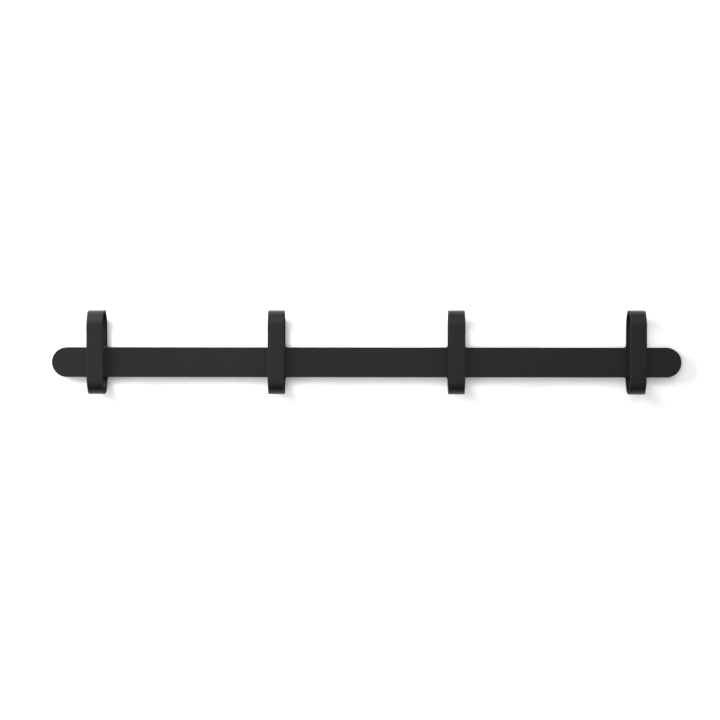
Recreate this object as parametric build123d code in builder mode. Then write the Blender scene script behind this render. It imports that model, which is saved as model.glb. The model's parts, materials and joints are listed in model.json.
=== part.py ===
"""Coat hook rail: a flat steel bar with round ends that carries four closed loops of flat strip.

Millimetres, +Z up. X runs along the rail, the front faces -Y, and the wall is the plane Y = 0.
The origin lies on the wall, midway between the head holes of the two keyholes.
"""

import os

from build123d import *

# Rail: one flat bar, its ends full half circles
RAIL_LENGTH = 700.0
RAIL_HEIGHT = 33.0
RAIL_THICKNESS = 5.0
END_MARGIN = 52.25  # from the end of the rail to the middle of the end loop

# Loops: flat strip bent round to a closed oblong and welded behind the rail
STRIP_WIDTH = 18.0
STRIP_THICKNESS = 3.0
LOOP_DEPTH = 45.0  # from the wall to the front of the loop
LOOP_RISE = 42.0  # above the rail's top edge
LOOP_DROP = 17.0  # below the rail's bottom edge
BEND_RADIUS = 16.5  # outside of the bend

# Edges and welds
EDGE_BREAK = 0.5  # sharp edges taken off the bar and the strip
WELD_LEG = 1.2

# Keyholes in the back of the end loops, out of sight behind their front
HEAD_HOLE_DIAMETER = 8.0
SHANK_SLOT_WIDTH = 4.2
SHANK_SLOT_RISE = 9.0  # from the middle of the head hole to the seat of the screw
HEAD_HOLE_MARGIN = 4.0  # from the rail's top edge to the lowest point of the head hole

# Heights, counted from the middle of the head holes
RAIL_TOP = -HEAD_HOLE_MARGIN - HEAD_HOLE_DIAMETER / 2
RAIL_BOTTOM = RAIL_TOP - RAIL_HEIGHT
RAIL_MIDDLE = (RAIL_TOP + RAIL_BOTTOM) / 2
LOOP_TOP = RAIL_TOP + LOOP_RISE
LOOP_BOTTOM = RAIL_BOTTOM - LOOP_DROP
LOOP_HEIGHT = LOOP_TOP - LOOP_BOTTOM
LOOP_MIDDLE = (LOOP_TOP + LOOP_BOTTOM) / 2

# Loops by name from left to right, evenly spaced, with whether each hangs on a screw
LOOPS = [
    ("left_end_loop", True),
    ("left_middle_loop", False),
    ("right_middle_loop", False),
    ("right_end_loop", True),
]
FIRST_LOOP = -RAIL_LENGTH / 2 + END_MARGIN
LOOP_PITCH = -2 * FIRST_LOOP / (len(LOOPS) - 1)


def build_rail():
    """Flat bar standing off the wall by one strip, with the sharp edge taken off its front."""
    with BuildPart() as rail:
        with BuildSketch(Plane.XZ.offset(STRIP_THICKNESS)):
            with Locations((0, RAIL_MIDDLE)):
                SlotOverall(RAIL_LENGTH, RAIL_HEIGHT)
        extrude(amount=RAIL_THICKNESS)
        front = rail.faces().sort_by(Axis.Y)[0]
        chamfer(front.edges(), EDGE_BREAK)
    return rail.part


def build_loop(middle_x, hangs):
    """Closed strip round the rail, with its two weld beads and, at an end, its keyhole."""
    with BuildPart() as loop:
        with BuildSketch(Plane.YZ.offset(middle_x)):
            with Locations((-LOOP_DEPTH / 2, LOOP_MIDDLE)):
                RectangleRounded(LOOP_DEPTH, LOOP_HEIGHT, BEND_RADIUS)
                RectangleRounded(
                    LOOP_DEPTH - 2 * STRIP_THICKNESS,
                    LOOP_HEIGHT - 2 * STRIP_THICKNESS,
                    BEND_RADIUS - STRIP_THICKNESS,
                    mode=Mode.SUBTRACT,
                )
        extrude(amount=STRIP_WIDTH / 2, both=True)
        sides = loop.faces().filter_by(Axis.X)
        chamfer(sides.edges(), EDGE_BREAK)

        # Weld beads in the corners between the back of the loop and the rail's edges
        with BuildSketch(Plane.YZ.offset(middle_x)):
            for edge, away in ((RAIL_TOP, 1), (RAIL_BOTTOM, -1)):
                corner = (-STRIP_THICKNESS, edge)
                on_rail = (-STRIP_THICKNESS - WELD_LEG, edge)
                on_loop = (-STRIP_THICKNESS, edge + away * WELD_LEG)
                with BuildLine():
                    Line(corner, on_rail)
                    ThreePointArc(
                        on_rail,
                        (-STRIP_THICKNESS - 0.4 * WELD_LEG, edge + away * 0.4 * WELD_LEG),
                        on_loop,
                    )
                    Line(on_loop, corner)
                make_face()
        extrude(amount=STRIP_WIDTH / 2 - EDGE_BREAK, both=True)

        if hangs:
            # Screw head enters the round hole, then the rail drops and the shank runs up the slot
            with BuildSketch(Plane.XZ):
                with Locations((middle_x, 0)):
                    Circle(HEAD_HOLE_DIAMETER / 2)
                with Locations((middle_x, SHANK_SLOT_RISE / 2)):
                    Rectangle(SHANK_SLOT_WIDTH, SHANK_SLOT_RISE)
                with Locations((middle_x, SHANK_SLOT_RISE)):
                    Circle(SHANK_SLOT_WIDTH / 2)
            extrude(amount=STRIP_THICKNESS, mode=Mode.SUBTRACT)
    return loop.part


os.makedirs("parts", exist_ok=True)

rail_part = build_rail()
rail_part.label = "rail"
export_step(rail_part, "parts/rail.step")

for index, (name, hangs) in enumerate(LOOPS):
    loop_part = build_loop(FIRST_LOOP + index * LOOP_PITCH, hangs)
    loop_part.label = name
    export_step(loop_part, f"parts/{name}.step")
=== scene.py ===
"""Looks of a steel coat hook rail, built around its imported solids.

Metres, +Z up. X runs along the rail, the front faces -Y and the wall is the plane Y = 0.
"""

import json
import math

import bmesh
import bpy
import numpy as np
from bpy.props import FloatProperty, FloatVectorProperty, PointerProperty
from bpy.types import NodeSocket, Operator, Panel, PropertyGroup
from mathutils import Euler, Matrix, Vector


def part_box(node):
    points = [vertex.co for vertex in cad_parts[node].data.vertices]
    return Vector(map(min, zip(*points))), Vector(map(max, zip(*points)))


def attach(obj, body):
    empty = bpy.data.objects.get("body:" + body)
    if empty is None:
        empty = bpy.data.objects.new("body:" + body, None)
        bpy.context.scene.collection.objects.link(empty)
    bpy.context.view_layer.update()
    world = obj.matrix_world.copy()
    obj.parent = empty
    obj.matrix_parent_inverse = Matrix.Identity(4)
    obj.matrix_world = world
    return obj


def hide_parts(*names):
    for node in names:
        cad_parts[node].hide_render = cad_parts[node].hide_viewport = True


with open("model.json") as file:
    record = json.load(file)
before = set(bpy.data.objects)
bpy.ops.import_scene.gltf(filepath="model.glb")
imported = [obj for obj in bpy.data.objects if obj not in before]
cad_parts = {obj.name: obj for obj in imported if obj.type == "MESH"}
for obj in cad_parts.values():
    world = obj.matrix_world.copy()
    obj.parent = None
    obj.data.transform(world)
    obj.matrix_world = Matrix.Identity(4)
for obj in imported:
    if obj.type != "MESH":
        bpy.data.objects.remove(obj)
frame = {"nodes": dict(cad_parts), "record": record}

bl_info = {
    "name": "Coat Hook Rail",
    "version": (1, 0, 0),
    "blender": (4, 5, 0),
    "location": "View3D > Sidebar > Coat Rail",
    "description": "Builds the finished look of a steel coat hook rail around its solids",
    "category": "Object",
}


def box_corners(node):
    """Low and high corner of a solid's box."""
    return tuple(np.array(corner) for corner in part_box(node))


MM = 0.001
QUARTER_TURN = math.pi / 2

# Places read from the solids
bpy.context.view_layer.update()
RAIL_LOW, RAIL_HIGH = box_corners("rail")
RAIL_MIDDLE_Z = (RAIL_LOW[2] + RAIL_HIGH[2]) / 2
STRIP_THICKNESS = -RAIL_HIGH[1]
LOOP_NODES = sorted(
    (name for name in frame["nodes"] if name.endswith("_loop")),
    key=lambda name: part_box(name)[0][0],
)
KEYHOLE = next(m for m in frame["record"]["mounts"] if m["name"] == "wall_keyholes")
KEYHOLE_SPACING = KEYHOLE["dims"]["spacing_x_mm"] * MM
HEAD_HOLE_RADIUS = KEYHOLE["dims"]["hole_r_mm"] * MM
BODY = "root"

# Points of the bar's grid
BAR_RUN_POINTS = 90  # along each straight edge
BAR_END_POINTS = 65  # round each end
BAR_EDGE_POINTS = 9  # over the front edge, every second of them over the back edge
BAR_FACE_RINGS = np.array([0.0, 0.5, 0.8])  # shares of the way from the middle line to the edge
BACK_EDGE_RATIO = 3  # front edge's radius over that of the back edge, which is only broken
EDGE_SUPPORT = 0.15 * MM  # from a rounded edge to the points that keep the face beside it flat

# Points of a loop's grid
FACE_POINTS = 25  # across each broad face of the strip
CORNER_POINTS = 8  # round each corner of the strip's section
BACK_ROWS_BELOW = 10  # up the back to the keyhole's patch
BACK_ROWS_BESIDE = 33  # up the patch
BACK_ROWS_ABOVE = 8  # from the patch to the top bend
FRONT_ROWS = 25
SHORT_SIDE_ROWS = 7  # over the top and along the bottom
BEND_ROWS = 25

# Keyhole
KEYHOLE_SLACK = 1 * MM  # a loop whose middle is this near to a keyhole's place has one
PATCH_ROOM = 2 * MM  # flat of the strip's back kept above and below a keyhole
PATCH_MARGIN = 3  # columns of points kept at each side of a keyhole
RAY_START = 0.25  # height that a keyhole's rim is seen from, as a share of the slot's rise
RIM_EDGE = 0.6  # edge value of the coat on a keyhole's rim
LEAST_SLANT = 1e-9  # keeps an upright ray from dividing by zero

# Weld beads
WELD_ROWS = 121
WELD_POINTS = 15  # round the section
WELD_HOLLOW = 0.76  # power in the curve of the section: 1 is a straight slope, less is hollow
RIPPLE_LEAD = 0.35  # how far crests run ahead in the middle of a bead, in ripples
RIPPLE_DEPTH = 0.06  # share of the leg by which it grows and shrinks about its middle

# Mesh repair
MERGE_DISTANCE = 1e-6
SHORTEST_EDGE = 1e-7
SHARP_ANGLE = math.radians(40)

# Powder coat
MOTTLE_SCALE = 38.0  # mottles in a metre
MOTTLE_SPAN = (0.3, 0.7)  # of the mottles' noise, from the darker black to the lighter
SPECK_SCALE = 0.6  # specks in the width of one dimple of the grain
GLOSS_SPAN = (0.6, 1.4)  # of the mottles' and specks' noise together, from smooth to rough
COLOUR_A, COLOUR_B, COLOUR_RESULT = 6, 7, 2  # a Mix node's sockets for colours

# Wall and floor
STAGE_REACH = 4.0
FLOOR_Z = RAIL_MIDDLE_Z - 1.65
CEILING_Z = RAIL_MIDDLE_Z + 2.0
WALL_Y = 0.3 * MM  # just behind the backs of the loops
WALL_GAP = 2 * STRIP_THICKNESS  # gloss from nearer the wall than this passes it
WALL_PAINT = (0.95, 0.97)  # darkest and palest tone
WALL_CLOUDS = 4.0  # drifts of tone in a metre
FLOOR_PAINT = (0.32, 0.36)
FLOOR_CLOUDS = 1.5
FLOOR_ROUGHNESS = 0.9

# Lamps: place from the middle of the rail and width in metres, power in watts
LAMPS = {
    "front_lamp": ((-0.4, -1.8, -0.5), 2.0, 7.1),
    "left_lamp": ((-1.2, -0.4, 0.6), 0.7, 9.5),
    "key_lamp": ((-0.8, -0.35, 0.8), 0.7, 4.2),
    "top_lamp": ((0.0, -1.3, 1.4), 2.4, 10.4),
}
LAMP_SPREAD = math.radians(100)

# Camera
SENSOR_WIDTH = 36.0  # millimetres, as the camera counts it
CLIP_END = 100.0


class CoatRailSizes(PropertyGroup):
    """Sizes of the bar, the strip and the welds that the solids' boxes don't give."""

    bend_radius: FloatProperty(
        name="Bend radius",
        description="Outside radius of the four bends of a loop",
        default=16.5 * MM,
        unit="LENGTH",
    )
    edge_round: FloatProperty(
        name="Edge rounding",
        description="Radius of the coated edges of the bar and the strip",
        default=0.5 * MM,
        unit="LENGTH",
    )
    bend_draw: FloatProperty(
        name="Bend draw",
        description="How far bending draws the strip's outer face in at each side",
        default=0.3 * MM,
        unit="LENGTH",
    )
    strip_crown: FloatProperty(
        name="Strip crown",
        description="Height of the middle of the strip's front over its edges",
        default=0.12 * MM,
        unit="LENGTH",
    )
    strip_bow: FloatProperty(
        name="Strip bow",
        description="How far the middle of a loop's front stands out beyond its bends",
        default=0.4 * MM,
        unit="LENGTH",
    )
    slot_width: FloatProperty(
        name="Keyhole slot width",
        description="Width of the slot that takes the screw's shank",
        default=4.2 * MM,
        unit="LENGTH",
    )
    slot_rise: FloatProperty(
        name="Keyhole slot rise",
        description="Height of the screw's seat over the middle of the head hole",
        default=9 * MM,
        unit="LENGTH",
    )
    hole_lip: FloatProperty(
        name="Keyhole lip",
        description="Width of the broken edge round the keyhole",
        default=0.25 * MM,
        unit="LENGTH",
    )
    weld_leg: FloatProperty(
        name="Weld leg",
        description="Width of a weld bead on the bar and on the loop",
        default=1.2 * MM,
        unit="LENGTH",
    )
    weld_wrap: FloatProperty(
        name="Weld wrap",
        description="How far a weld bead runs on past each side of the strip",
        default=2.0 * MM,
        unit="LENGTH",
    )
    weld_swell: FloatProperty(
        name="Weld end swell",
        description="Share by which a weld bead swells where it rounds a side of the strip",
        default=0.7,
    )
    weld_ripple: FloatProperty(
        name="Weld ripple pitch",
        description="Distance from one ripple of a weld bead to the next",
        default=1.3 * MM,
        unit="LENGTH",
    )


class CoatRailFinish(PropertyGroup):
    """Colours, gloss and grain of the black powder coat."""

    coat_dark: FloatVectorProperty(
        name="Coat, dark",
        description="Darker of the two blacks that mottle the coat",
        default=(0.0046, 0.0046, 0.0048),
        subtype="COLOR",
    )
    coat_light: FloatVectorProperty(
        name="Coat, light",
        description="Lighter of the two blacks that mottle the coat",
        default=(0.0060, 0.0060, 0.0062),
        subtype="COLOR",
    )
    coat_edge: FloatVectorProperty(
        name="Coat, edges",
        description="Colour of the thin coat along cut edges",
        default=(0.0066, 0.0066, 0.0068),
        subtype="COLOR",
    )
    coat_shine: FloatProperty(
        name="Coat shine",
        description="Strength of the coat's surface reflection, where 0.5 is that of plain lacquer",
        default=0.19,
    )
    satin_smooth: FloatProperty(
        name="Satin, smooth",
        description="Roughness of the faces where the coat is smoothest",
        default=0.40,
    )
    satin_rough: FloatProperty(
        name="Satin, rough",
        description="Roughness of the faces where the coat is roughest",
        default=0.48,
    )
    edge_matt: FloatProperty(
        name="Edge mattness",
        description="Roughness that the coat on cut edges has over that on the faces",
        default=0.4,
    )
    grain_size: FloatProperty(
        name="Grain size",
        description="Width of one dimple of the coat's fine orange peel",
        default=0.7 * MM,
        unit="LENGTH",
    )
    grain_depth: FloatProperty(
        name="Grain depth",
        description="Depth of the coat's fine orange peel",
        default=0.02 * MM,
        unit="LENGTH",
    )


class CoatRailStage(PropertyGroup):
    """Camera, placed from the middle of the rail at the wall, and the light of the room."""

    camera_distance: FloatProperty(
        name="Camera distance",
        description="Distance of the camera from the wall",
        default=2.4457,
        unit="LENGTH",
    )
    camera_rise: FloatProperty(
        name="Camera rise",
        description="Height of the camera over the middle of the rail",
        default=0.1885,
        unit="LENGTH",
    )
    camera_aside: FloatProperty(
        name="Camera aside",
        description="Distance of the camera to the right of the middle of the rail",
        default=0.0028,
        unit="LENGTH",
    )
    camera_roll: FloatProperty(
        name="Camera roll",
        description="Turn of the camera about its line of sight",
        default=math.radians(0.04),
        subtype="ANGLE",
    )
    aim_aside: FloatProperty(
        name="Aim aside",
        description="Point on the rail's front that the picture is centred on, to the right",
        default=-0.0072,
        unit="LENGTH",
    )
    aim_rise: FloatProperty(
        name="Aim rise",
        description="Point on the rail's front that the picture is centred on, upwards",
        default=0.0028,
        unit="LENGTH",
    )
    lens: FloatProperty(
        name="Lens",
        description="Focal length of the camera in millimetres",
        default=110.0,
    )
    wall_glow: FloatProperty(
        name="Wall glow",
        description="Light added to the wall where it shows, to reach white",
        default=0.03,
    )
    room_light: FloatProperty(
        name="Room light",
        description="Strength of the even light that comes from all sides",
        default=0.34,
    )


def smoothstep(value):
    """Smooth rise from 0 to 1: three times the square less twice the cube of the value."""
    value = np.clip(value, 0.0, 1.0)
    return value * value * (3.0 - 2.0 * value)


def join_stretches(*stretches):
    """Values along a line that is given in stretches, one array for each value.

    A stretch gives each value as an array, or as one number that holds all along it.
    """
    wide = [np.broadcast_arrays(*np.atleast_1d(*stretch)) for stretch in stretches]
    return tuple(np.concatenate(values) for values in zip(*wide))


def grid_quads(rows, columns, wrap_rows=False, wrap_columns=False):
    """Point numbers of the quads of a grid counted row by row, as an array rows x columns x 4.

    Each quad joins a point to the next in its row and to the two beside them in the next row.
    """
    row = np.arange(rows if wrap_rows else rows - 1)[:, None]
    column = np.arange(columns if wrap_columns else columns - 1)[None, :]
    next_row = (row + 1) % rows
    next_column = (column + 1) % columns
    corners = (
        row * columns + column,
        row * columns + next_column,
        next_row * columns + next_column,
        next_row * columns + column,
    )
    return np.stack(corners, axis=-1)


def make_piece(name, points, quads, material, edge=None):
    """Closed mesh object at the origin from points and quads, doubles merged and faces outwards.

    edge, where given, is a value per point from 0 on broad faces to 1 on cut edges.
    """
    mesh = bpy.data.meshes.new(name)
    mesh.from_pydata(points.reshape(-1, 3).tolist(), [], quads.reshape(-1, 4).tolist())
    layer = mesh.attributes.new("edge", "FLOAT", "POINT")
    values = np.zeros(len(mesh.vertices)) if edge is None else np.ravel(edge)
    layer.data.foreach_set("value", values.astype(np.float32))
    work = bmesh.new()
    work.from_mesh(mesh)
    bmesh.ops.remove_doubles(work, verts=work.verts, dist=MERGE_DISTANCE)
    bmesh.ops.dissolve_degenerate(work, dist=SHORTEST_EDGE, edges=work.edges)
    bmesh.ops.recalc_face_normals(work, faces=work.faces)
    open_edges = sum(1 for e in work.edges if not e.is_manifold)
    work.to_mesh(mesh)
    work.free()
    if open_edges:
        raise RuntimeError(f"{name} isn't closed: {open_edges} open edges")
    mesh.polygons.foreach_set("use_smooth", np.ones(len(mesh.polygons), dtype=bool))
    mesh.set_sharp_from_angle(angle=SHARP_ANGLE)
    mesh.materials.append(material)
    piece = bpy.data.objects.new(name, mesh)
    bpy.context.scene.collection.objects.link(piece)
    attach(piece, BODY)
    return piece


def new_material(name):
    """Material with a node tree of its own, and that tree."""
    material = bpy.data.materials.new(name)
    material.use_nodes = True
    return material, material.node_tree


def add_node(tree, kind, place, **values):
    """One shader node, with values set on its attributes or, failing those, on its inputs."""
    node = tree.nodes.new(kind)
    node.location = place
    for key, value in values.items():
        if hasattr(node, key):
            setattr(node, key, value)
        else:
            node.inputs[key.replace("_", " ")].default_value = value
    return node


def add_math(tree, operation, place, *sources, **values):
    """Output of a math node on sources that are plain numbers or other nodes' outputs."""
    node = add_node(tree, "ShaderNodeMath", place, operation=operation, **values)
    for source, socket in zip(sources, node.inputs):
        if isinstance(source, NodeSocket):
            tree.links.new(source, socket)
        else:
            socket.default_value = source
    return node.outputs["Value"]


def add_noise(tree, place, coordinates, **values):
    """Output of a noise texture on the coordinates given."""
    node = add_node(tree, "ShaderNodeTexNoise", place, **values)
    tree.links.new(coordinates, node.inputs["Vector"])
    return node.outputs["Fac"]


def add_range(tree, place, source, span, result):
    """Output that runs over the two values of result as the source runs over those of span."""
    node = add_node(
        tree,
        "ShaderNodeMapRange",
        place,
        From_Min=span[0],
        From_Max=span[1],
        To_Min=result[0],
        To_Max=result[1],
    )
    tree.links.new(source, node.inputs["Value"])
    return node.outputs["Result"]


def powder_coat(name, finish):
    """Satin black powder coat: two blacks in soft mottles, fine orange peel, thin coat on edges."""
    material, tree = new_material(name)
    link = tree.links.new
    shader = tree.nodes["Principled BSDF"]
    shader.inputs["Metallic"].default_value = 0.0
    shader.inputs["Specular IOR Level"].default_value = finish.coat_shine
    shader.inputs["IOR"].default_value = 1.5

    place = add_node(tree, "ShaderNodeTexCoord", (-1100, 0)).outputs["Object"]
    edge = add_node(tree, "ShaderNodeAttribute", (-900, 480), attribute_name="edge").outputs["Fac"]
    specks = SPECK_SCALE / finish.grain_size
    dimples = 1.0 / finish.grain_size
    mottle = add_noise(tree, (-900, 200), place, Scale=MOTTLE_SCALE, Detail=3.0, Roughness=0.55)
    speck = add_noise(tree, (-900, -50), place, Scale=specks, Detail=1.0, Roughness=0.5)
    grain = add_noise(tree, (-900, -300), place, Scale=dimples, Detail=2.0, Roughness=0.45)

    # Colour: soft mottles between the two blacks, then the thin coat along the edges
    blacks = add_node(tree, "ShaderNodeMix", (-500, 250), data_type="RGBA")
    blacks.inputs[COLOUR_A].default_value = (*finish.coat_dark, 1.0)
    blacks.inputs[COLOUR_B].default_value = (*finish.coat_light, 1.0)
    share = add_range(tree, (-700, 250), mottle, MOTTLE_SPAN, (0.0, 1.0))
    link(share, blacks.inputs["Factor"])
    coat = add_node(tree, "ShaderNodeMix", (-300, 300), data_type="RGBA")
    coat.inputs[COLOUR_B].default_value = (*finish.coat_edge, 1.0)
    thin = add_math(tree, "MULTIPLY", (-700, 480), edge, speck)
    link(thin, coat.inputs["Factor"])
    link(blacks.outputs[COLOUR_RESULT], coat.inputs[COLOUR_A])
    link(coat.outputs[COLOUR_RESULT], shader.inputs["Base Color"])

    # Gloss: a satin that drifts a little with the mottles and specks, matter on cut edges
    drift = add_math(tree, "ADD", (-700, 20), mottle, speck)
    roughness = (finish.satin_smooth, finish.satin_rough)
    satin = add_range(tree, (-500, 20), drift, GLOSS_SPAN, roughness)
    matt = add_math(tree, "MULTIPLY_ADD", (-300, 20), edge, finish.edge_matt, satin)
    link(matt, shader.inputs["Roughness"])

    # Orange peel
    peel = add_node(
        tree, "ShaderNodeBump", (-300, -250), Strength=1.0, Distance=finish.grain_depth
    )
    link(grain, peel.inputs["Height"])
    link(peel.outputs["Normal"], shader.inputs["Normal"])
    return material


def coat_material():
    """The one powder coat that bar, loops and welds share, made when first asked for."""
    name = "black_powder_coat"
    return bpy.data.materials.get(name) or powder_coat(
        name, bpy.context.scene.coat_rail_finish
    )


def rail_surface(sizes):
    """Bar as one grid: an outline round the bar times a section from its front to its back.

    Every point of the outline has a foot on the bar's middle line, held inside the two end
    centres, and an outward direction. The section gives a distance out from the foot, a depth and
    an edge value: out along the flat front, round the front edge, over the rim, and in along the
    back.
    """
    length, thickness, height = RAIL_HIGH - RAIL_LOW
    radius = height / 2
    half_straight = length / 2 - radius
    middle_x = (RAIL_LOW[0] + RAIL_HIGH[0]) / 2

    run = np.linspace(-half_straight, half_straight, BAR_RUN_POINTS)
    turn = np.linspace(-QUARTER_TURN, QUARTER_TURN, BAR_END_POINTS)[1:-1]
    foot, side, rise = join_stretches(
        (run, 0.0, -1.0),
        (half_straight, np.cos(turn), np.sin(turn)),
        (run[::-1], 0.0, 1.0),
        (-half_straight, -np.cos(turn), -np.sin(turn)),
    )

    soft = sizes.edge_round
    hard = soft / BACK_EDGE_RATIO
    front = np.linspace(0.0, QUARTER_TURN, BAR_EDGE_POINTS)
    back = front[::2]
    flat = BAR_FACE_RINGS * (radius - soft)
    out, deep, edge = join_stretches(
        (flat, 0.0, 0.0),
        (radius - soft - EDGE_SUPPORT, 0.0, 0.0),
        (radius - soft + soft * np.sin(front), soft - soft * np.cos(front), np.sin(front)),
        (
            radius - hard + hard * np.cos(back),
            thickness - hard + hard * np.sin(back),
            np.cos(back),
        ),
        (radius - hard - EDGE_SUPPORT, thickness, 0.0),
        (flat[::-1], thickness, 0.0),
    )
    x = middle_x + foot[:, None] + side[:, None] * out[None, :]
    y = RAIL_LOW[1] + np.broadcast_to(deep[None, :], x.shape)
    z = RAIL_MIDDLE_Z + rise[:, None] * out[None, :]
    points = np.stack([x, y, z], axis=-1)
    quads = grid_quads(*x.shape, wrap_rows=True)
    return points, quads, np.broadcast_to(edge[None, :], x.shape)


def strip_section(width, sizes):
    """Section of the strip as a closed ring: place across, height off the outer face, crown, edge.

    A rectangle with four quarter-round corners. Crown counts from 0 in the middle of the outer
    face to 1 at its edges, growing with the square of the distance from the middle, and edge
    rises from 0 on the broad faces to 1 on the narrow sides with the sine of the corner's turn.
    The last value is the number of points across a broad face.
    """
    soft = sizes.edge_round
    deep = STRIP_THICKNESS
    half = width / 2 - soft
    flat = np.linspace(-half, half, FACE_POINTS)
    flat = np.insert(flat, [1, flat.size - 1], [-half + EDGE_SUPPORT, half - EDGE_SUPPORT])
    enter = np.linspace(0.0, QUARTER_TURN, CORNER_POINTS)[1:]
    leave = enter - enter[0]
    ring = join_stretches(
        (flat, 0.0, (flat / half) ** 2, 0.0),
        (half + soft * np.sin(enter), -soft + soft * np.cos(enter), 1.0, np.sin(enter)),
        (half + soft * np.cos(leave), -deep + soft - soft * np.sin(leave), 0.0, np.cos(leave)),
        (flat[::-1], -deep, 0.0, 0.0),
        (-half - soft * np.sin(enter), -deep + soft - soft * np.cos(enter), 0.0, np.sin(enter)),
        (-half - soft * np.cos(leave), -soft + soft * np.sin(leave), 1.0, np.cos(leave)),
    )
    return *ring, flat.size


def loop_line(low, high, sizes, patch):
    """Line of a loop's outer face in Y and Z, with its outward direction, once round.

    Up the back, over the top, down the front and along the bottom: four straights joined by
    quarter circles of the bend radius. The back has a row of points at each end of the keyhole's
    patch and close rows between them. The last two values are the patch's first row and the
    number of its rows.
    """
    radius = sizes.bend_radius
    back, front, top, bottom = high[1], low[1], high[2], low[2]
    below = np.linspace(bottom + radius, patch[0], BACK_ROWS_BELOW)[:-1]
    beside = np.linspace(patch[0], patch[1], BACK_ROWS_BESIDE)
    above = np.linspace(patch[1], top - radius, BACK_ROWS_ABOVE)[1:]
    up = np.concatenate([below, beside, above])
    inward = np.linspace(back - radius, front + radius, SHORT_SIDE_ROWS)
    down = np.linspace(top - radius, bottom + radius, FRONT_ROWS)
    arc = np.linspace(0.0, QUARTER_TURN, BEND_ROWS)[1:-1]

    def bend(centre_y, centre_z, start):
        turn = arc + start
        return centre_y + radius * np.cos(turn), centre_z + radius * np.sin(turn), turn

    y, z, angle = join_stretches(
        (back, up, 0.0),
        bend(back - radius, top - radius, 0.0),
        (inward, top, QUARTER_TURN),
        bend(front + radius, top - radius, QUARTER_TURN),
        (front, down, 2 * QUARTER_TURN),
        bend(front + radius, bottom + radius, 2 * QUARTER_TURN),
        (inward[::-1], bottom, 3 * QUARTER_TURN),
        bend(back - radius, bottom + radius, 3 * QUARTER_TURN),
    )
    return y, z, np.cos(angle), np.sin(angle), below.size, beside.size


def keyhole_reach(direction, start_z, sizes):
    """Distance from a point on the keyhole's middle line to its rim in each direction.

    The keyhole is a round hole and an upright slot with a round end. The point lies in both, so
    the rim is the farther of the two places where a ray leaves the round hole and the slot.
    """
    across, up = np.cos(direction), np.sin(direction)
    half = sizes.slot_width / 2

    def leave_circle(centre_z, radius):
        along = (centre_z - start_z) * up
        room = radius**2 - (centre_z - start_z) ** 2 + along**2
        return np.where(room > 0, along + np.sqrt(np.maximum(room, 0.0)), 0.0)

    to_side = half / np.maximum(np.abs(across), LEAST_SLANT)
    meets = start_z + to_side * up
    on_side = (meets >= 0.0) & (meets <= sizes.slot_rise)
    slot_end = np.where(up > 0, leave_circle(sizes.slot_rise, half), 0.0)
    slot = np.where(on_side, to_side, slot_end)
    return np.maximum(slot, leave_circle(0.0, HEAD_HOLE_RADIUS))


def cut_keyhole(points, quads, edge, rows, columns, sizes):
    """Loop's grid with a keyhole through its back, as points, quads and edge values.

    A rectangle of quads is left out of both faces of the strip. Rings join each rectangle's rim
    to the keyhole's rim, seen from a point on its middle line, and the two rims to each other.
    """
    first_row, row_count = rows
    near, far, section = columns
    low_row, high_row = first_row, first_row + row_count - 1
    row = np.concatenate(
        [
            np.full(near.size - 1, low_row),
            np.arange(low_row, high_row),
            np.full(near.size - 1, high_row),
            np.arange(high_row, low_row, -1),
        ]
    )

    def rim(line):
        column = np.concatenate(
            [
                line[:-1],
                np.full(row_count - 1, line[-1]),
                line[:0:-1],
                np.full(row_count - 1, line[0]),
            ]
        )
        return row * section + column

    keep = np.ones(quads.shape[:2], dtype=bool)
    for line in (near, far):
        first = min(line[0], line[-1])
        keep[low_row:high_row, first : first + line.size - 1] = False

    flat_points = points.reshape(-1, 3)
    outer_rim, inner_rim = rim(near), rim(far)
    rim_x, back, rim_z = flat_points[outer_rim].T
    middle_x = rim_x.mean()
    start_z = sizes.slot_rise * RAY_START
    direction = np.arctan2(rim_z - start_z, rim_x - middle_x)
    reach = keyhole_reach(direction, start_z, sizes)
    lip = sizes.hole_lip
    rings = []
    for grow, depth in (
        (lip, 0.0),
        (0.0, lip),
        (0.0, STRIP_THICKNESS - lip),
        (lip, STRIP_THICKNESS),
    ):
        ring_x = middle_x + (reach + grow) * np.cos(direction)
        ring_z = start_z + (reach + grow) * np.sin(direction)
        rings.append(np.stack([ring_x, back - depth, ring_z], axis=-1))
    count = outer_rim.size
    start = len(flat_points)
    ring_rows = [outer_rim]
    ring_rows += [start + index * count + np.arange(count) for index in range(len(rings))]
    ring_rows.append(inner_rim)
    numbers = np.concatenate(ring_rows)
    ring_quads = numbers[grid_quads(len(ring_rows), count, wrap_columns=True)].reshape(-1, 4)
    all_points = np.concatenate([flat_points, *rings])
    all_quads = np.concatenate([quads[keep], ring_quads])
    all_edge = np.concatenate([np.ravel(edge), np.full(len(rings) * count, RIM_EDGE)])
    return all_points, all_quads, all_edge


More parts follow.
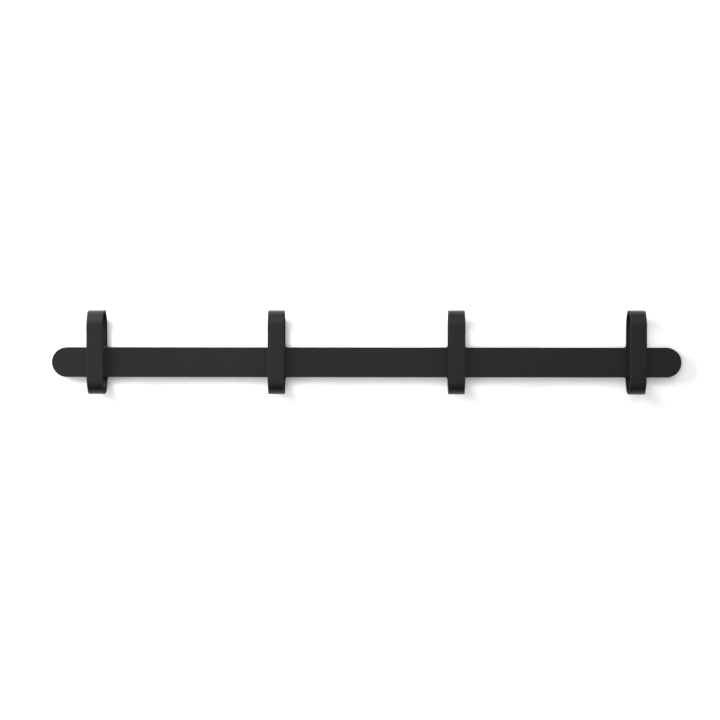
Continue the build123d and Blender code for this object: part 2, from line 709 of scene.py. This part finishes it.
def loop_surface(node, sizes):
    """Loop as one grid: the strip's section carried round the loop's line, with its keyhole.

    A point lies on the line, moved along the line's outward direction by its height in the
    section, and across the line by its place in the section. The crown lowers the edges of the
    outer face, fully at the front and not at all in the back half. In the bends the outer face
    is drawn in towards its middle, most half-way round, as the square of the sine of twice the
    line's direction. The bow sets the front back towards its bends, with the square of the height
    from its middle, and dies out evenly towards the back.
    """
    low, high = box_corners(node)
    width, depth, loop_height = high - low
    middle_x, _, middle_z = (low + high) / 2
    across, height, crown, edge, face_points = strip_section(width, sizes)
    patch = (
        -HEAD_HOLE_RADIUS - PATCH_ROOM,
        sizes.slot_rise + sizes.slot_width / 2 + PATCH_ROOM,
    )
    line_y, line_z, out_y, out_z, patch_row, patch_rows = loop_line(low, high, sizes, patch)
    frontness = smoothstep((high[1] - line_y) / depth * 2.0 - 1.0)
    lift = height[None, :] - sizes.strip_crown * frontness[:, None] * crown[None, :]
    bent = (2.0 * out_y * out_z) ** 2
    outer = 1.0 + height / STRIP_THICKNESS
    draw = sizes.bend_draw * bent[:, None] * (outer * across / (width / 2))[None, :]
    half_front = loop_height / 2 - sizes.bend_radius
    from_middle = np.clip((line_z - middle_z) / half_front, -1.0, 1.0)
    bow = sizes.strip_bow * from_middle**2 * (high[1] - line_y) / depth
    x = middle_x + across[None, :] - draw
    y = (line_y + bow)[:, None] + lift * out_y[:, None]
    z = line_z[:, None] + lift * out_z[:, None]
    points = np.stack([x, y, z], axis=-1)
    quads = grid_quads(*lift.shape, wrap_rows=True, wrap_columns=True)
    edges = np.broadcast_to(edge[None, :], lift.shape)
    if abs(abs(middle_x) - KEYHOLE_SPACING / 2) > KEYHOLE_SLACK:
        return points, quads, edges
    near = np.arange(PATCH_MARGIN, face_points - PATCH_MARGIN)
    far = across.size // 2 + face_points - 1 - near
    return cut_keyhole(
        points, quads, edges, (patch_row, patch_rows), (near, far, across.size), sizes
    )


def weld_surface(node, edge_z, away, sizes):
    """Weld bead in the corner of a loop's back and one edge of the bar, carried along X.

    Its section is a concave quarter between the two legs: the sum of the two legs' shares, each
    to the power WELD_HOLLOW, is one. The legs swell and shrink in ripples whose crests run ahead
    in the middle of the bead. Where the bead rounds the strip's sides it swells once more, as a
    bell curve about as wide as the leg, and it dies away smoothly beyond them.
    """
    low, high = box_corners(node)
    half = (high[0] - low[0]) / 2 + sizes.weld_wrap
    middle_x = (low[0] + high[0]) / 2
    along = np.linspace(-1.0, 1.0, WELD_ROWS)
    around = np.linspace(0.0, QUARTER_TURN, WELD_POINTS)
    on_rail = np.cos(around) ** (2 / WELD_HOLLOW)
    on_loop = np.sin(around) ** (2 / WELD_HOLLOW)
    to_end = (1.0 - np.abs(along)) * half
    bell = np.exp(-(((to_end - sizes.weld_wrap) / sizes.weld_leg) ** 2))
    ends = smoothstep(to_end / sizes.weld_wrap) * (1.0 + sizes.weld_swell * bell)
    ahead = RIPPLE_LEAD * np.sin(2 * around)
    phase = along[:, None] * half / sizes.weld_ripple + ahead[None, :]
    ripple = 1.0 - RIPPLE_DEPTH + RIPPLE_DEPTH * np.cos(2 * math.pi * phase)
    leg = sizes.weld_leg * ends[:, None] * ripple
    corner = np.zeros((along.size, 1))
    out = np.concatenate([corner, leg * on_rail[None, :]], axis=1)
    up = np.concatenate([corner, leg * on_loop[None, :]], axis=1)
    x = np.broadcast_to(middle_x + half * along[:, None], out.shape)
    y = RAIL_HIGH[1] - out
    z = edge_z + away * up
    points = np.stack([x, y, z], axis=-1)
    return points, grid_quads(*out.shape, wrap_columns=True)


class COATRAIL_OT_bar(Operator):
    """Build the flat bar with its round ends"""

    bl_idname = "coat_rail.bar"
    bl_label = "Rail bar"

    def execute(self, context):
        points, quads, edge = rail_surface(context.scene.coat_rail_sizes)
        piece = make_piece("rail_bar", points, quads, coat_material(), edge)
        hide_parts("rail")
        return {"FINISHED"}


class COATRAIL_OT_loops(Operator):
    """Build the loops of bent strip"""

    bl_idname = "coat_rail.loops"
    bl_label = "Strip loops"

    def execute(self, context):
        for node in LOOP_NODES:
            points, quads, edge = loop_surface(node, context.scene.coat_rail_sizes)
            piece = make_piece(f"{node}_strip", points, quads, coat_material(), edge)
            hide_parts(node)
        return {"FINISHED"}


class COATRAIL_OT_welds(Operator):
    """Build the weld beads that hold the loops to the bar"""

    bl_idname = "coat_rail.welds"
    bl_label = "Weld beads"

    def execute(self, context):
        sizes = context.scene.coat_rail_sizes
        for node in LOOP_NODES:
            for word, edge_z, away in (("upper", RAIL_HIGH[2], 1), ("lower", RAIL_LOW[2], -1)):
                points, quads = weld_surface(node, edge_z, away, sizes)
                make_piece(f"{node}_{word}_weld", points, quads, coat_material())
        return {"FINISHED"}


def stage_plane(name, corners, material):
    """Flat sheet of the stage through four corners, given anticlockwise from its lit side."""
    mesh = bpy.data.meshes.new(name)
    mesh.from_pydata(corners, [], [(0, 1, 2, 3)])
    mesh.materials.append(material)
    sheet = bpy.data.objects.new(name, mesh)
    bpy.context.scene.collection.objects.link(sheet)
    return sheet


def drifting_tone(tree, clouds, paint):
    """Output of a grey that drifts softly between the two tones of a paint."""
    place = add_node(tree, "ShaderNodeTexCoord", (-1100, 100)).outputs["Object"]
    cloud = add_noise(tree, (-900, 100), place, Scale=clouds, Detail=2.0)
    return add_range(tree, (-650, 100), cloud, (0.0, 1.0), paint)


def wall_shows(tree):
    """Output that is 1 where the wall shows to a ray, and 0 where the ray passes it.

    It shows from the room's side to rays from the camera, in gloss and through glass. Other rays
    pass it, and so does gloss that starts in the gap behind the rail, so that the hidden side of
    the rail is lit when it is looked at from behind.
    """
    rays = add_node(tree, "ShaderNodeLightPath", (-1100, -350)).outputs
    side = add_node(tree, "ShaderNodeNewGeometry", (-700, -550)).outputs
    seen = add_math(
        tree, "MAXIMUM", (-700, -300), rays["Is Camera Ray"], rays["Is Glossy Ray"]
    )
    shown = add_math(tree, "MAXIMUM", (-500, -300), seen, rays["Is Transmission Ray"])
    front = add_math(
        tree, "SUBTRACT", (-300, -300), shown, side["Backfacing"], use_clamp=True
    )
    apart = add_math(tree, "GREATER_THAN", (-300, -500), rays["Ray Length"], WALL_GAP)
    return add_math(tree, "MULTIPLY", (-100, -350), front, apart)


def wall_material(stage):
    """White matt wall that shows from the room's side only, with a glow that brings it to white."""
    material, tree = new_material("white_wall")
    link = tree.links.new
    tree.nodes.remove(tree.nodes["Principled BSDF"])
    paint = add_node(tree, "ShaderNodeBsdfDiffuse", (-400, 100))
    link(drifting_tone(tree, WALL_CLOUDS, WALL_PAINT), paint.inputs["Color"])
    glow = add_node(tree, "ShaderNodeEmission", (-400, -50), Strength=stage.wall_glow)
    lit = add_node(tree, "ShaderNodeAddShader", (-200, 50))
    link(paint.outputs["BSDF"], lit.inputs[0])
    link(glow.outputs["Emission"], lit.inputs[1])
    clear = add_node(tree, "ShaderNodeBsdfTransparent", (-200, -100))
    mix = add_node(tree, "ShaderNodeMixShader", (0, 0))
    link(wall_shows(tree), mix.inputs["Fac"])
    link(clear.outputs["BSDF"], mix.inputs[1])
    link(lit.outputs["Shader"], mix.inputs[2])
    link(mix.outputs["Shader"], tree.nodes["Material Output"].inputs["Surface"])
    return material


def floor_material():
    """Grey matt floor with a faint drift of tone."""
    material, tree = new_material("grey_floor")
    shader = tree.nodes["Principled BSDF"]
    shader.inputs["Roughness"].default_value = FLOOR_ROUGHNESS
    tree.links.new(drifting_tone(tree, FLOOR_CLOUDS, FLOOR_PAINT), shader.inputs["Base Color"])
    return material


def build_room(stage):
    """Wall behind the rail and floor below it."""
    stage_plane(
        "wall",
        [
            (-STAGE_REACH, WALL_Y, FLOOR_Z),
            (STAGE_REACH, WALL_Y, FLOOR_Z),
            (STAGE_REACH, WALL_Y, CEILING_Z),
            (-STAGE_REACH, WALL_Y, CEILING_Z),
        ],
        wall_material(stage),
    )
    stage_plane(
        "floor",
        [
            (-STAGE_REACH, -STAGE_REACH, FLOOR_Z),
            (STAGE_REACH, -STAGE_REACH, FLOOR_Z),
            (STAGE_REACH, STAGE_REACH, FLOOR_Z),
            (-STAGE_REACH, STAGE_REACH, FLOOR_Z),
        ],
        floor_material(),
    )


def area_lamp(name, place, target, size, power):
    """Square soft lamp at a place, facing a target point."""
    light = bpy.data.lights.new(name, "AREA")
    light.shape = "SQUARE"
    light.size = size
    light.energy = power
    light.spread = LAMP_SPREAD
    lamp = bpy.data.objects.new(name, light)
    lamp.location = place
    lamp.rotation_euler = (target - place).to_track_quat("-Z", "Y").to_euler()
    bpy.context.scene.collection.objects.link(lamp)
    return lamp


def light_room(scene, stage, rail):
    """Lamps about the middle of the rail, and an even light from all sides."""
    for name, (place, size, power) in LAMPS.items():
        area_lamp(name, rail + Vector(place), rail, size, power)
    world = bpy.data.worlds.new("room")
    world.use_nodes = True
    background = world.node_tree.nodes["Background"]
    background.inputs["Strength"].default_value = stage.room_light
    background.inputs["Color"].default_value = (1.0, 1.0, 1.0, 1.0)
    scene.world = world


def place_camera(scene, stage, rail):
    """Camera in front of the rail, turned to its aim and rolled about its line of sight."""
    camera = bpy.data.cameras.new("camera")
    camera.sensor_fit = "HORIZONTAL"
    camera.sensor_width = SENSOR_WIDTH
    camera.lens = stage.lens
    camera.clip_end = CLIP_END
    view = bpy.data.objects.new("camera", camera)
    place = rail + Vector((stage.camera_aside, -stage.camera_distance, stage.camera_rise))
    aim = rail + Vector((stage.aim_aside, RAIL_LOW[1], stage.aim_rise))
    turn = (aim - place).to_track_quat("-Z", "Y").to_matrix()
    roll = Euler((0.0, 0.0, stage.camera_roll)).to_matrix()
    view.location = place
    view.rotation_euler = (turn @ roll).to_euler()
    scene.collection.objects.link(view)
    scene.camera = view


class COATRAIL_OT_stage(Operator):
    """Set up the wall, the floor, the lamps and the camera"""

    bl_idname = "coat_rail.stage"
    bl_label = "Wall, lamps and camera"

    def execute(self, context):
        scene = context.scene
        stage = scene.coat_rail_stage
        rail = Vector((0.0, 0.0, RAIL_MIDDLE_Z))
        scene.view_settings.view_transform = "Standard"
        build_room(stage)
        light_room(scene, stage, rail)
        place_camera(scene, stage, rail)
        return {"FINISHED"}


BUILD_STEPS = (COATRAIL_OT_bar, COATRAIL_OT_loops, COATRAIL_OT_welds, COATRAIL_OT_stage)


class COATRAIL_PT_panel(Panel):
    """Lists the build steps, the sizes and the colours"""

    bl_idname = "COATRAIL_PT_panel"
    bl_label = "Coat Hook Rail"
    bl_space_type = "VIEW_3D"
    bl_region_type = "UI"
    bl_category = "Coat Rail"

    def draw(self, context):
        for step in BUILD_STEPS:
            self.layout.operator(step.bl_idname)
        scene = context.scene
        for group in (scene.coat_rail_sizes, scene.coat_rail_finish, scene.coat_rail_stage):
            box = self.layout.box()
            for key in group.__annotations__:
                box.prop(group, key)


GROUPS = {
    "coat_rail_sizes": CoatRailSizes,
    "coat_rail_finish": CoatRailFinish,
    "coat_rail_stage": CoatRailStage,
}
CLASSES = (*GROUPS.values(), *BUILD_STEPS, COATRAIL_PT_panel)


def register():
    for kind in CLASSES:
        bpy.utils.register_class(kind)
    for key, group in GROUPS.items():
        setattr(bpy.types.Scene, key, PointerProperty(type=group))


def unregister():
    for key in GROUPS:
        delattr(bpy.types.Scene, key)
    for kind in reversed(CLASSES):
        bpy.utils.unregister_class(kind)


def main():
    register()
    bpy.ops.coat_rail.bar()
    bpy.ops.coat_rail.loops()
    bpy.ops.coat_rail.welds()
    bpy.ops.coat_rail.stage()


if __name__ == "__main__":
    main()
